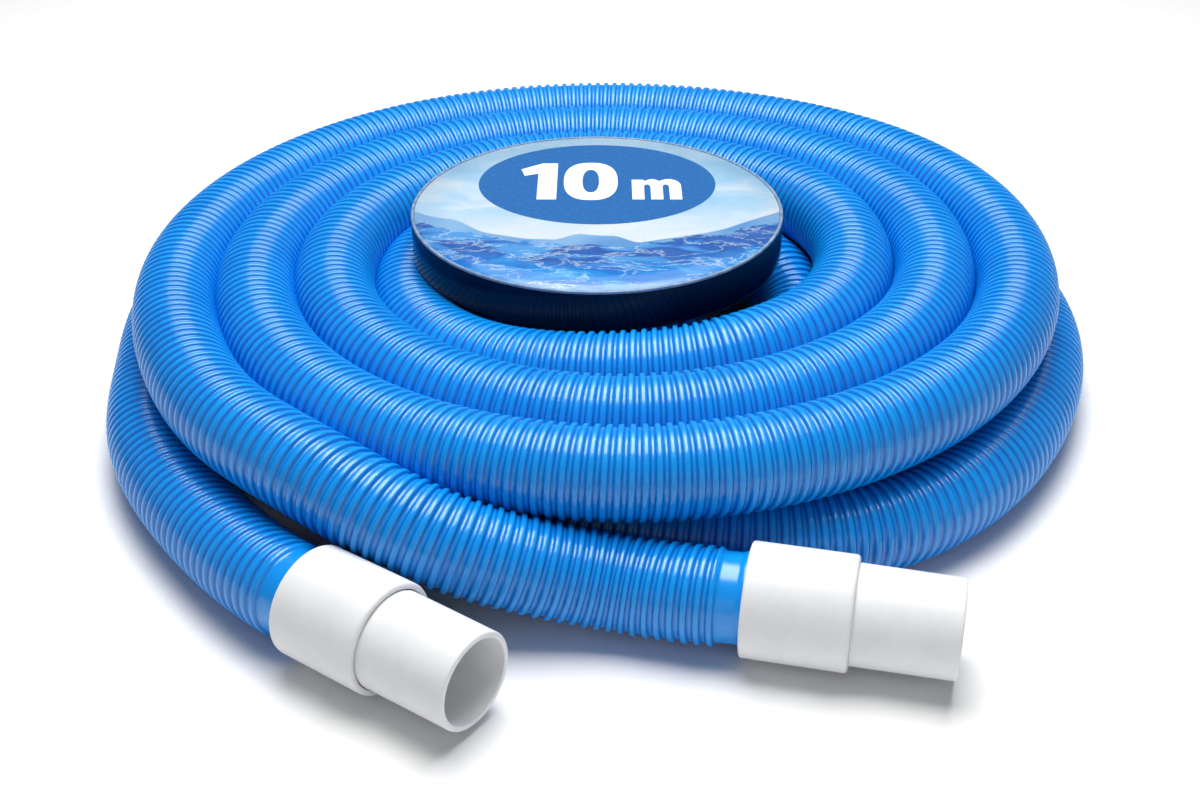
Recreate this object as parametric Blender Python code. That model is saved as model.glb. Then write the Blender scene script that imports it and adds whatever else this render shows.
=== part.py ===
"""A pool vacuum hose, sold as 10 m of 38 mm spiral-wound hose: it lies in two layers of turns that
hold 9.3 m of it, with a two-step cuff and a swivelling nozzle on each end, and a round size label
standing in the middle. Metres, +Z up. The origin is on the floor, under the middle of the whole
object."""

import math

import bmesh
import bpy
import numpy as np
from mathutils import Matrix, Vector

# Hose
HOSE_RADIUS = 0.025  # over the ribs
SOLID_RADIUS = 0.0225  # of the plain tubes: a little under the ribs, since the turns nest
HOSE_BORE = 0.0205
PLAIN_RADIUS = 0.0240  # the smooth end that goes into a cuff
PLAIN_BACK = -0.0117
PLAIN_FRONT = 0.0366
CUFF_DEPTH = 0.036  # how far the centreline runs into a cuff
LINE_STEP = 0.002
TUBE_STEP = 0.030

# Coil: both layers run clockwise and inward, one hose width a turn
COIL_CENTRE = Vector((-0.0005, 0.0450, 0.0))
TURN_STEP = 0.050
UPPER_SQUEEZE = 0.0032  # the upper turns lie closer together on the left
SQUEEZE_ANGLE = 115.0
LOWER_HEIGHT = 0.025
UPPER_HEIGHT = 0.0714
HUMP_HEIGHT = 0.0028
HUMP_ANGLE = 338.0
# Radius of a layer's first turn at every 30 degrees, clockwise from the front
LOWER_TURN = (0.2855, 0.2825, 0.2840, 0.2810, 0.2755, 0.2710,
              0.2695, 0.2710, 0.2760, 0.2820, 0.2810, 0.2750)
UPPER_TURN = (0.3065, 0.2915, 0.2725, 0.2580, 0.2460, 0.2385,
              0.2370, 0.2440, 0.2570, 0.2605, 0.2605, 0.2605)
LOWER_SEAM = 60.0
UPPER_SEAM = 60.0
LOWER_START = 75
TURN_DEGREES = 15  # between the route's points on the turns
SLIVER = 0.35  # half the opening in a coil's ring, in degrees
LOWER_TURNS = 2
UPPER_TURNS = 3
LOWER_LAST = 1020
UPPER_LAST = 1050
COIL_STEPS = 48
WEB_ANGLE = 30.0

# Where the hose leaves the rule of the turns: (angle clockwise from the front, radius, height)
TAIL_LEFT = ((45, 0.3100, 0.025), (60, 0.2975, 0.025))
TAIL_RIGHT = ((45, 0.2825, 0.0705), (30, 0.2885, 0.0675), (15, 0.2915, 0.0490), (0, 0.2850, 0.0285))
MIDDLE_IN = ((1037, 0.1620, 0.025), (1055, 0.1390, 0.025), (1080, 0.1180, 0.025), (1110, 0.1015, 0.025),
             (1140, 0.0900, 0.025))
MIDDLE_OUT = ((1352, 0.1281, 0.0275), (1335, 0.1240, 0.0340), (1305, 0.1115, 0.0435), (1275, 0.0975, 0.0505),
              (1245, 0.0930, 0.0522), (1215, 0.1030, 0.0522), (1185, 0.1155, 0.0523), (1155, 0.1240, 0.0528),
              (1125, 0.1340, 0.0565), (1095, 0.1440, 0.0630), (1065, 0.1520, 0.0690))
# The turn back in the middle: two half circles side by side, on the floor
BEND_RADIUS = 0.0520
BEND_START = Vector((-0.080, -0.005, LOWER_HEIGHT))

# Cuffs, along their own axis from the collar's back face
LEFT_CUFF = Vector((-0.1423, -0.3017, 0.0))
LEFT_HEADING = -35.4
RIGHT_CUFF = Vector((0.0721, -0.3009, 0.0))
RIGHT_HEADING = -13.1
COLLAR_RADIUS = 0.029
# Where the hose goes into a cuff: (along the axis, to its inner side, height)
LEFT_ENTRY = ((CUFF_DEPTH, 0.0, 0.0290), (0.0, 0.0, 0.0287), (-0.042, 0.0045, 0.0262))
RIGHT_ENTRY = ((-0.034, 0.0, 0.0270), (0.0, 0.0, 0.0287), (CUFF_DEPTH, 0.0, 0.0290))
COLLAR_LENGTH = 0.053
COLLAR_BORE = 0.0244
CHAMBER_START = 0.0367
CHAMBER_END = 0.0476
CHAMBER_RADIUS = 0.0270
LIP_BORE = 0.0258
WASHER = (0.0370, 0.0382, 0.0205, 0.0265)
NOZZLE_BACK = 0.0386
FLANGE_FRONT = 0.0472
FLANGE_RADIUS = 0.0265
NOZZLE_RADIUS = 0.0253
MOUTH_RADIUS = 0.0249
NOZZLE_END = 0.1045
NECK_BORE = 0.0190
MOUTH_BORE = 0.0218
CUFF_SIDES = 48

# Label
LABEL_CENTRE = Vector((-0.0019, -0.0010, 0.0))
LABEL_RADIUS = 0.1167
LABEL_FOOT = 0.0781
LABEL_TOP = 0.1036
BAND_WALL = 0.0018
RIM_WIDTH = 0.0031
RIM_HEIGHT = 0.0018
CARD_THICKNESS = 0.0024
CARD_RECESS = 0.0005  # below the rim
BASE_THICKNESS = 0.0020
HUB_RADIUS = 0.058
HUB_FOOT = 0.0503
LABEL_SIDES = 72
GAP = 0.0003

BLUE = (0.012, 0.235, 0.760)
WHITE = (0.86, 0.87, 0.88)


def clear_scene():
    for obj in list(bpy.data.objects):
        bpy.data.objects.remove(obj, do_unlink=True)


def material(name, colour, roughness, metallic=0.0):
    mat = bpy.data.materials.new(name)
    mat.use_nodes = True
    shader = mat.node_tree.nodes["Principled BSDF"]
    shader.inputs["Base Color"].default_value = (*colour, 1.0)
    shader.inputs["Roughness"].default_value = roughness
    shader.inputs["Metallic"].default_value = metallic
    mat.diffuse_color = (*colour, 1.0)
    return mat


def cubic(knots, values, at):
    """A natural cubic curve through values at knots, read at the given places."""
    x = np.asarray(knots, float)
    y = np.asarray(values, float)
    h = np.diff(x)
    system = np.eye(len(x))
    right = np.zeros_like(y)
    for i in range(1, len(x) - 1):
        system[i, i - 1:i + 2] = h[i - 1], 2 * (h[i - 1] + h[i]), h[i]
        right[i] = 6 * ((y[i + 1] - y[i]) / h[i] - (y[i] - y[i - 1]) / h[i - 1])
    bend = np.linalg.solve(system, right)
    i = np.clip(np.searchsorted(x, at, side="right") - 1, 0, len(x) - 2)
    step = h[i] if y.ndim == 1 else h[i][:, None]
    a = (x[i + 1] - at) / h[i]
    b = (at - x[i]) / h[i]
    if y.ndim > 1:
        a, b = a[:, None], b[:, None]
    return a * y[i] + b * y[i + 1] + ((a**3 - a) * bend[i] + (b**3 - b) * bend[i + 1]) * step**2 / 6


def turn_radius(shape, angle, squeeze=0.0):
    """Each turn copies the first one, one hose width nearer the middle, or a little less where squeezed."""
    count = np.arange(-2, 48)
    steps = [TURN_STEP - squeeze * max(0.0, math.cos(math.radians(30.0 * k - SQUEEZE_ANGLE))) for k in count]
    values = [shape[k % 12] - step * (k // 12) for k, step in zip(count, steps)]
    return float(cubic(count * 30.0, values, np.array([float(angle)]))[0])


def upper_height(angle):
    """The upper layer rides over the place where the lower turns step inward."""
    return UPPER_HEIGHT + HUMP_HEIGHT * max(0.0, math.cos(math.radians(angle - HUMP_ANGLE))) ** 4


def polar(angle, radius, height):
    a = math.radians(angle)
    return COIL_CENTRE + Vector((-radius * math.sin(a), -radius * math.cos(a), height))


def cuff_point(base, heading, along, inward, height):
    a = math.radians(heading)
    x = math.cos(a) * along - math.sin(a) * inward
    y = math.sin(a) * along + math.cos(a) * inward
    return COIL_CENTRE + base + Vector((x, y, height))


def middle_bend():
    """Points round two half circles side by side: over the top of the left one, under the right one."""
    points = []
    for across, turns in ((1, (180, 140, 100, 60, 20)), (3, (200, 240, 280, 320))):
        for turn in turns:
            a = math.radians(turn)
            step = Vector((across + math.cos(a), math.sin(a), 0.0)) * BEND_RADIUS
            points.append(COIL_CENTRE + BEND_START + step)
    return points


def route():
    """The hose's own points, from inside the left cuff to inside the right one."""
    points = [cuff_point(LEFT_CUFF, LEFT_HEADING, *knot) for knot in LEFT_ENTRY]
    points += [polar(*knot) for knot in TAIL_LEFT]
    for a in range(LOWER_START, LOWER_LAST + 1, TURN_DEGREES):
        points.append(polar(a, turn_radius(LOWER_TURN, a), LOWER_HEIGHT))
    points += [polar(*knot) for knot in MIDDLE_IN]
    points += middle_bend()
    points += [polar(*knot) for knot in MIDDLE_OUT]
    for a in range(UPPER_LAST, int(UPPER_SEAM) - 1, -TURN_DEGREES):
        points.append(polar(a, turn_radius(UPPER_TURN, a, UPPER_SQUEEZE), upper_height(a)))
    points += [polar(*knot) for knot in TAIL_RIGHT]
    points += [cuff_point(RIGHT_CUFF, RIGHT_HEADING, *knot) for knot in RIGHT_ENTRY]
    return np.array([p[:] for p in points])


def centreline():
    """The route as a smooth curve, as evenly spaced points."""
    points = route()
    reach = np.linalg.norm(np.diff(points, axis=0), axis=1)
    knots = np.concatenate([[0.0], np.cumsum(np.sqrt(reach))])
    fine = cubic(knots, points, np.linspace(0.0, knots[-1], 20000))
    along = np.concatenate([[0.0], np.cumsum(np.linalg.norm(np.diff(fine, axis=0), axis=1))])
    even = np.linspace(0.0, along[-1], int(round(along[-1] / LINE_STEP)) + 1)
    return np.stack([np.interp(even, along, fine[:, k]) for k in range(3)], axis=1)


def winding(line):
    """Each point's angle round the coil, counted on from turn to turn, its radius and its height."""
    x = line[:, 0] - COIL_CENTRE.x
    y = line[:, 1] - COIL_CENTRE.y
    return np.degrees(np.unwrap(np.arctan2(-x, -y))), np.hypot(x, y), line[:, 2]


def layers(line):
    """(angle, radius, height) along each layer, with the angle rising from its first turn inward."""
    found = []
    for part in (line[:len(line) // 2 + len(line) // 60], line[::-1][:len(line) // 2 + len(line) // 60]):
        angle, radius, height = winding(part)
        angle = angle - 360.0 * round((angle[0] - 5.0) / 360.0)
        stop = int(np.argmax(angle > 1140.0))
        found.append((angle[:stop], radius[:stop], height[:stop]))
    return found


def read(layer, angle):
    return float(np.interp(angle, layer[0], layer[1])), float(np.interp(angle, layer[0], layer[2]))


def mesh_object(name, verts, faces, mat, smooth_angle=35.0):
    mesh = bpy.data.meshes.new(name)
    mesh.from_pydata(verts, [], faces)
    shape = bmesh.new()
    shape.from_mesh(mesh)
    bmesh.ops.recalc_face_normals(shape, faces=shape.faces)
    shape.to_mesh(mesh)
    shape.free()
    mesh.materials.append(mat)
    mesh.shade_smooth()
    mesh.set_sharp_from_angle(angle=math.radians(smooth_angle))
    obj = bpy.data.objects.new(name, mesh)
    bpy.context.collection.objects.link(obj)
    return obj


def lobes(centres, above, below):
    """The outline round a row of hose sections, inner to outer, joined by webs."""
    last = len(centres) - 1
    top = []
    foot = []
    for k, (r, z) in enumerate(centres):
        angles = [180.0 - WEB_ANGLE * n for n in range(1, 6)]
        over = ([180.0] if k == 0 else []) + angles + ([0.0] if k == last else [])
        top += [(r + SOLID_RADIUS * math.cos(math.radians(a)), z + above * math.sin(math.radians(a)))
                for a in over]
        foot += [(r + SOLID_RADIUS * math.cos(math.radians(a)), z - below * math.sin(math.radians(a)))
                 for a in angles]
    return top + foot[::-1]


def coil(name, layer, seam, turns, above, below, mat):
    """One closed ring with a lobe for each turn, open by a sliver where the turns step inward."""
    verts = []
    for k in range(COIL_STEPS + 1):
        angle = seam + SLIVER + (360.0 - 2 * SLIVER) * k / COIL_STEPS
        rows = [read(layer, angle + 360.0 * n) for n in reversed(range(turns))]
        verts += [polar(angle, r, z) for r, z in lobes(rows, above, below)]
    size = len(verts) // (COIL_STEPS + 1)
    faces = [tuple(range(size - 1, -1, -1)), tuple(COIL_STEPS * size + k for k in range(size))]
    for k in range(COIL_STEPS):
        for j in range(size):
            n = (j + 1) % size
            faces.append((k * size + j, k * size + n, (k + 1) * size + n, (k + 1) * size + j))
    return mesh_object(name, verts, faces, mat)


def tube(name, points, mat):
    """A plain round hose along the points, with closed ends."""
    curve = bpy.data.curves.new(name, "CURVE")
    curve.dimensions = "3D"
    curve.twist_mode = "MINIMUM"
    curve.bevel_depth = SOLID_RADIUS
    curve.bevel_resolution = 4
    curve.use_fill_caps = True
    spline = curve.splines.new("POLY")
    spline.points.add(len(points) - 1)
    for point, place in zip(spline.points, points):
        point.co = (*place, 1.0)
    curve.materials.append(mat)
    obj = bpy.data.objects.new(name, curve)
    bpy.context.collection.objects.link(obj)
    return obj


def turned(name, profile, sides, mat, parent=None, place=None):
    """A ring, or a disc where the profile starts and ends on the axis, about the object's own X."""
    verts = []
    rings = []
    for s, r in profile:
        if r < 1e-9:
            rings.append([len(verts)])
            verts.append((s, 0.0, 0.0))
            continue
        rings.append(list(range(len(verts), len(verts) + sides)))
        for k in range(sides):
            a = 2 * math.pi * k / sides
            verts.append((s, r * math.cos(a), r * math.sin(a)))
    faces = []
    closed = all(r > 1e-9 for _, r in profile)
    pairs = list(zip(rings, rings[1:])) + ([(rings[-1], rings[0])] if closed else [])
    for first, second in pairs:
        for k in range(sides):
            n = (k + 1) % sides
            quad = (first[k % len(first)], first[n % len(first)],
                    second[n % len(second)], second[k % len(second)])
            faces.append(tuple(dict.fromkeys(quad)))
    obj = mesh_object(name, verts, faces, mat)
    if place is not None:
        obj.matrix_world = place
    if parent is not None:
        obj.parent = parent
    return obj


def collar_profile():
    return [(0.0, COLLAR_BORE), (CHAMBER_START, COLLAR_BORE), (CHAMBER_START, CHAMBER_RADIUS),
            (CHAMBER_END, CHAMBER_RADIUS), (CHAMBER_END, LIP_BORE), (COLLAR_LENGTH - 0.0006, LIP_BORE),
            (COLLAR_LENGTH, LIP_BORE + 0.0006), (COLLAR_LENGTH, COLLAR_RADIUS - 0.0022),
            (COLLAR_LENGTH - 0.0008, COLLAR_RADIUS - 0.0007), (COLLAR_LENGTH - 0.0024, COLLAR_RADIUS),
            (0.0014, COLLAR_RADIUS), (0.0, COLLAR_RADIUS - 0.0014)]


def nozzle_profile():
    return [(NOZZLE_BACK, NECK_BORE), (COLLAR_LENGTH, NECK_BORE), (NOZZLE_END - 0.0006, MOUTH_BORE),
            (NOZZLE_END, MOUTH_BORE + 0.0006), (NOZZLE_END, MOUTH_RADIUS - 0.0008),
            (NOZZLE_END - 0.0008, MOUTH_RADIUS), (FLANGE_FRONT, NOZZLE_RADIUS),
            (FLANGE_FRONT, FLANGE_RADIUS), (NOZZLE_BACK, FLANGE_RADIUS)]


def tube_profile(start, stop, inner, outer):
    return [(start, inner), (stop, inner), (stop, outer), (start, outer)]


def cuff(side, base, heading, plastic, rubber, hose):
    """Collar, washer, plain hose end and the nozzle, which turns about the cuff's axis."""
    root = bpy.data.objects.new("cuff_axis_" + side, None)
    bpy.context.collection.objects.link(root)
    root.location = COIL_CENTRE + base + Vector((0.0, 0.0, COLLAR_RADIUS))
    root.rotation_euler = (0.0, 0.0, math.radians(heading))
    bpy.context.view_layer.update()
    turned("cuff_collar_" + side, collar_profile(), CUFF_SIDES, plastic, root)
    turned("cuff_nozzle_" + side, nozzle_profile(), CUFF_SIDES, plastic, root)
    turned("cuff_washer_" + side, tube_profile(*WASHER), CUFF_SIDES, rubber, root)
    plain_end = tube_profile(PLAIN_BACK, PLAIN_FRONT, HOSE_BORE, PLAIN_RADIUS)
    turned("hose_end_" + side, plain_end, CUFF_SIDES, hose, root)


def disc(radius, low, high, edge=0.0):
    side = [(low, radius - edge), (low + edge, radius), (high - edge, radius), (high, radius - edge)]
    return list(dict.fromkeys([(low, 0.0)] + side + [(high, 0.0)]))


def label(navy, foam, card, grey):
    """A card face and a base on a foam core, with a gloss band and a rim round them and a hub under them."""
    upright = Matrix.Translation(COIL_CENTRE + LABEL_CENTRE) @ Matrix.Rotation(math.radians(-90.0), 4, "Y")
    inner = LABEL_RADIUS - BAND_WALL - GAP
    rim_inner = LABEL_RADIUS - RIM_WIDTH
    card_foot = LABEL_TOP - CARD_RECESS - CARD_THICKNESS
    band_top = LABEL_TOP - RIM_HEIGHT - GAP
    pieces = (
        ("label_hub", disc(HUB_RADIUS, HUB_FOOT, LABEL_FOOT - GAP, 0.001), foam),
        ("label_base", disc(inner, LABEL_FOOT, LABEL_FOOT + BASE_THICKNESS), navy),
        ("label_core", disc(inner, LABEL_FOOT + BASE_THICKNESS + GAP, card_foot - GAP), foam),
        ("label_card", disc(rim_inner - GAP, card_foot, card_foot + CARD_THICKNESS), card),
        ("label_band", tube_profile(LABEL_FOOT, band_top, inner + GAP, LABEL_RADIUS), navy),
        ("label_rim", tube_profile(LABEL_TOP - RIM_HEIGHT, LABEL_TOP, rim_inner, LABEL_RADIUS), grey),
    )
    for name, profile, mat in pieces:
        turned(name, profile, LABEL_SIDES, mat, place=upright)


def square_ends(points, first, last):
    """Adds a point near each end, so that the tube's flat ends lie square to the given directions."""
    lead = 0.010
    return [points[0], points[0] + first * lead] + points[1:-1] + [points[-1] - last * lead, points[-1]]


def along_turn(point, inward_turning):
    """The direction of a turn at a point, square to the coil's radius."""
    out = Vector((point.x - COIL_CENTRE.x, point.y - COIL_CENTRE.y, 0.0)).normalized()
    return Vector((out.y, -out.x, 0.0)) * (1.0 if inward_turning else -1.0)


def run(start, stop, spacing):
    """Points along the centreline between two of its own indices."""
    count = max(2, round((stop - start) * LINE_STEP / spacing)) + 1
    return [Vector(LINE[int(round(k))]) for k in np.linspace(start, stop, count)]


def heading(angle):
    return Vector((math.cos(math.radians(angle)), math.sin(math.radians(angle)), 0.0))


def hose_tubes(mat):
    """The stretches that leave the two rings: one to each cuff, and the turn back in the middle."""
    last = len(LINE) - 1
    sleeve = round((CUFF_DEPTH - PLAIN_BACK + GAP) / LINE_STEP)
    lower = [int(np.searchsorted(LOWER[0], a)) for a in (LOWER_SEAM, LOWER_SEAM + 360.0 * LOWER_TURNS)]
    upper = [last - int(np.searchsorted(UPPER[0], a)) for a in (UPPER_SEAM, UPPER_SEAM + 360.0 * UPPER_TURNS)]
    left = run(sleeve, lower[0], TUBE_STEP)
    right = run(upper[0], last - sleeve, TUBE_STEP)
    middle = run(lower[1], upper[1], TUBE_STEP)
    tube("hose_tail_left", square_ends(left, -heading(LEFT_HEADING), along_turn(left[-1], True)), mat)
    tube("hose_tail_right", square_ends(right, along_turn(right[0], False), heading(RIGHT_HEADING)), mat)
    tube("hose_middle", square_ends(middle, along_turn(middle[0], True), along_turn(middle[-1], False)), mat)


clear_scene()
LINE = centreline()
LOWER, UPPER = layers(LINE)

hose_blue = material("hose_blue", BLUE, 0.32)
cuff_white = material("cuff_white", WHITE, 0.42)
washer_grey = material("washer_grey", (0.05, 0.05, 0.055), 0.7)
label_navy = material("label_navy", (0.004, 0.010, 0.060), 0.18)
label_foam = material("label_foam", (0.72, 0.74, 0.76), 0.85)
label_print = material("label_print", (0.30, 0.55, 0.80), 0.30)
label_grey = material("label_grey", (0.25, 0.38, 0.52), 0.30)

coil("hose_coil_lower", LOWER, LOWER_SEAM, LOWER_TURNS, SOLID_RADIUS, HOSE_RADIUS, hose_blue)
coil("hose_coil_upper", UPPER, UPPER_SEAM, UPPER_TURNS, HOSE_RADIUS, SOLID_RADIUS, hose_blue)

cuff("left", LEFT_CUFF, LEFT_HEADING, cuff_white, washer_grey, hose_blue)
cuff("right", RIGHT_CUFF, RIGHT_HEADING, cuff_white, washer_grey, hose_blue)

hose_tubes(hose_blue)
label(label_navy, label_foam, label_print, label_grey)
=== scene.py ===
"""A blue pool vacuum hose, wound in two layers of turns, with a swivelling cuff on each end and a
round size label standing in the middle. Metres, +Z up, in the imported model's frame."""

import math

import bmesh
import bpy
import numpy as np
from mathutils import Matrix, Vector


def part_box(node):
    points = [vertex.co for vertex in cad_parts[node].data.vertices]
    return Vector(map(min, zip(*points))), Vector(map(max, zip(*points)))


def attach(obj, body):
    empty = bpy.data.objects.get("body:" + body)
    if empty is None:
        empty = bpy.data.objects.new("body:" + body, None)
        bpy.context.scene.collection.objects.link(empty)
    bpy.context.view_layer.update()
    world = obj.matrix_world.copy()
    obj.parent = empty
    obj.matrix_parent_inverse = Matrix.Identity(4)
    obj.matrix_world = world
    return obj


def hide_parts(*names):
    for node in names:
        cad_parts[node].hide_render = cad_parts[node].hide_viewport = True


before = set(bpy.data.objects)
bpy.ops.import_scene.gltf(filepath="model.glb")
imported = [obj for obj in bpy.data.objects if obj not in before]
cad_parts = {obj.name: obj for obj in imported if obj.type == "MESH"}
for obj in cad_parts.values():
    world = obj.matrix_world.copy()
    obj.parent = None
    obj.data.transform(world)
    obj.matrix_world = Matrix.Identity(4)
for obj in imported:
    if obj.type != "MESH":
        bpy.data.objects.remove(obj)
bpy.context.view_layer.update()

# Hose: radii over the ribs, in the grooves, of the bore and of the smooth ends
CREST = 0.0250
VALLEY = 0.0234
BORE = 0.0200
PLAIN = 0.0229
FLARE = 0.0241  # the smooth end widens to this inside its cuff
FLARE_LENGTH = 0.0030
RIB_PITCH = 0.00625
RIB_FADE = 0.6  # share of a pitch over which the ribs run out into a smooth end
PLAIN_BAND = 0.0105  # smooth hose that shows behind a cuff
CUFF_DEPTH = 0.036  # how far the hose runs into a cuff
SIDES = 40
# One rib and one groove along the hose: (share of the pitch, share of the rib's height, tone), where
# the tone is 0 at a rib's foot and 1 on the skin; a low tone paints shade at the feet
RIB = ((0.00, 0.00, 0.00), (0.05, 0.60, 0.50), (0.12, 0.95, 0.95), (0.20, 1.00, 1.00), (0.38, 1.00, 1.00),
       (0.46, 0.95, 0.95), (0.53, 0.60, 0.50), (0.58, 0.00, 0.00), (0.79, 0.02, 0.80))
LINE_STEP = 0.002  # along the centreline
FINE_POINTS = 20000  # on the route before it is evened out
BORE_STEP = 0.012  # between the rings of the bore
# The hose's own picture layout: rows, and the parts of a row's length and height that are used
UV_ROWS = 20
UV_LENGTH = 0.985
UV_HEIGHT = 0.94
UV_MARGIN = 0.03

# The route, as in the CAD source: both layers run clockwise and inward, one hose width a turn
COIL_CENTRE = Vector((-0.0005, 0.0450, 0.0))
TURN_STEP = 0.050
UPPER_SQUEEZE = 0.0032  # the upper turns lie closer together on the left
SQUEEZE_ANGLE = 115.0
LOWER_HEIGHT = 0.025
UPPER_HEIGHT = 0.0714
HUMP_HEIGHT = 0.0028
HUMP_ANGLE = 338.0
# Radius of a layer's first turn at every 30 degrees, clockwise from the front
LOWER_TURN = (0.2855, 0.2825, 0.2840, 0.2810, 0.2755, 0.2710,
              0.2695, 0.2710, 0.2760, 0.2820, 0.2810, 0.2750)
UPPER_TURN = (0.3065, 0.2915, 0.2725, 0.2580, 0.2460, 0.2385,
              0.2370, 0.2440, 0.2570, 0.2605, 0.2605, 0.2605)
# Angles where a layer's turns begin and end, outside and inside
UPPER_SEAM = 60
UPPER_LAST = 1050
LOWER_START = 75
LOWER_LAST = 1020
TURN_DEGREES = 15  # between the route's points on the turns
# Where the hose leaves the rule of the turns: (angle clockwise from the front, radius, height)
TAIL_LEFT = ((45, 0.3100, 0.025), (60, 0.2975, 0.025))
TAIL_RIGHT = ((45, 0.2825, 0.0705), (30, 0.2885, 0.0675), (15, 0.2915, 0.0490), (0, 0.2850, 0.0285))
MIDDLE_IN = ((1037, 0.1620, 0.025), (1055, 0.1390, 0.025), (1080, 0.1180, 0.025), (1110, 0.1015, 0.025),
             (1140, 0.0900, 0.025))
MIDDLE_OUT = ((1352, 0.1281, 0.0275), (1335, 0.1240, 0.0340), (1305, 0.1115, 0.0435), (1275, 0.0975, 0.0505),
              (1245, 0.0930, 0.0522), (1215, 0.1030, 0.0522), (1185, 0.1155, 0.0523), (1155, 0.1240, 0.0528),
              (1125, 0.1340, 0.0565), (1095, 0.1440, 0.0630), (1065, 0.1520, 0.0690))
# The turn back in the middle: two half circles side by side, on the floor
BEND_RADIUS = 0.0520
BEND_START = Vector((-0.080, -0.005, LOWER_HEIGHT))

# Cuffs: where they lie, which way they point, and their sizes from the collar's back face
LEFT_CUFF = Vector((-0.1423, -0.3017, 0.0))
LEFT_HEADING = -35.4
RIGHT_CUFF = Vector((0.0721, -0.3009, 0.0))
RIGHT_HEADING = -13.1
# Where the hose goes into a cuff: (along the axis, to its inner side, height)
LEFT_ENTRY = ((CUFF_DEPTH, 0.0, 0.0290), (0.0, 0.0, 0.0287), (-0.042, 0.0045, 0.0262))
RIGHT_ENTRY = ((-0.034, 0.0, 0.0270), (0.0, 0.0, 0.0287), (CUFF_DEPTH, 0.0, 0.0290))
COLLAR_RADIUS = 0.0290
COLLAR_LENGTH = 0.0530
COLLAR_BORE = 0.0244
CHAMBER_START = 0.0367  # of the wider room that holds the nozzle's flange
CHAMBER_END = 0.0476
CHAMBER_RADIUS = 0.0270
LIP_BORE = 0.0257
NOZZLE_BACK = 0.0386
FLANGE_FRONT = 0.0472
FLANGE_RADIUS = 0.0265
NOZZLE_RADIUS = 0.0253
MOUTH_RADIUS = 0.0249
NOZZLE_END = 0.1045
NECK_BORE = 0.0190
MOUTH_BORE = 0.0218
CUFF_SIDES = 96
CUFF_CORNER = 6  # steps round a rounded corner
SHARP_EDGE = 32.0  # degrees

# Label
LABEL_CENTRE = COIL_CENTRE + Vector((-0.0019, -0.0010, 0.0))
LABEL_SIDES = 160
LABEL_CORNER = 4  # steps, as for a cuff
DISC_RINGS = (0.75, 0.4, 0.12)  # rings inside a disc's edge, as shares of its radius
DISC_SHARP = 50.0  # degrees
RIM_WIDTH = 0.0019
CARD_GAP = 0.0001  # between the rim and the card
BAND_WALL = 0.0018
OVAL_WIDTH = 0.0768  # half of it, as for its depth
OVAL_DEPTH = 0.0634
OVAL_BEHIND = 0.0378  # from the label's middle to the oval's
INK_THICKNESS = 0.00012
LAYER_GAP = 0.00005  # under each layer of ink
# The size mark's own outlines, from the label's middle: a stem with a flag, a bold ring, an m
MARK_FOOT = 0.011
MARK_TOP = 0.069
ONE = ((-0.0260, MARK_FOOT), (-0.0260, MARK_TOP), (-0.0362, MARK_TOP), (-0.0500, 0.0590),
       (-0.0474, 0.0485), (-0.0385, 0.0522), (-0.0385, MARK_FOOT))
ZERO_MIDDLE = (-0.0041, 0.0400)
ZERO_OUTER = (0.0175, 0.0300)
ZERO_INNER = (0.0054, 0.0182)
UNIT_TOP = 0.0430
UNIT_LEFT = 0.0225
UNIT_STEM = 0.0078
UNIT_GAP = 0.0042
UNIT_SHOULDER = 0.0105  # from the top down to the feet of the outer arches
UNIT_CROWN = 0.0085  # thickness of the arches
UNIT_HOLLOW = 0.0040  # rise of the inner arches
FLAG_WIDTH = 0.0070  # flat top of the first stem
FLAG_DROP = 0.0010
FLAG_ARCH = 0.0072  # where the first arch leaves that stem
ARCH_STEPS = 12

CAMERA_PLACE = COIL_CENTRE + Vector((0.0, -0.9182, 0.5198))
CAMERA_TARGET = COIL_CENTRE + Vector((0.0, -0.0653, 0.0))
CAMERA_LENS = 47.65
SENSOR_WIDTH = 36.0

FLOOR_HALF = 6.0
FLOOR_DROP = 0.0002  # the floor lies this far under the hose
SKY_COLOUR = (0.96, 0.98, 1.0, 1.0)
SKY_STRENGTH = 0.145
# Soft lights: (name, place, target, width and height, watts)
LIGHTS = (("overhead", (0.0, 0.12, 1.45), (0.0, 0.05, 0.0), (0.95, 1.1), 29.5),
          ("front_fill", (0.3, -2.2, 0.7), (0.0, 0.0, 0.05), (3.0, 1.2), 5.5),
          ("back", (0.0, 1.7, 2.5), (0.0, 1.2, 0.0), (2.4, 1.2), 18.0))


# ---------------------------------------------------------------- route

def cubic(knots, values, at):
    """A natural cubic curve through values at knots, read at the given places."""
    x = np.asarray(knots, float)
    y = np.asarray(values, float)
    h = np.diff(x)
    system = np.eye(len(x))
    right = np.zeros_like(y)
    for i in range(1, len(x) - 1):
        system[i, i - 1:i + 2] = h[i - 1], 2 * (h[i - 1] + h[i]), h[i]
        right[i] = 6 * ((y[i + 1] - y[i]) / h[i] - (y[i] - y[i - 1]) / h[i - 1])
    bend = np.linalg.solve(system, right)
    i = np.clip(np.searchsorted(x, at, side="right") - 1, 0, len(x) - 2)
    step = h[i] if y.ndim == 1 else h[i][:, None]
    a = (x[i + 1] - at) / h[i]
    b = (at - x[i]) / h[i]
    if y.ndim > 1:
        a, b = a[:, None], b[:, None]
    return a * y[i] + b * y[i + 1] + ((a**3 - a) * bend[i] + (b**3 - b) * bend[i + 1]) * step**2 / 6


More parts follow.
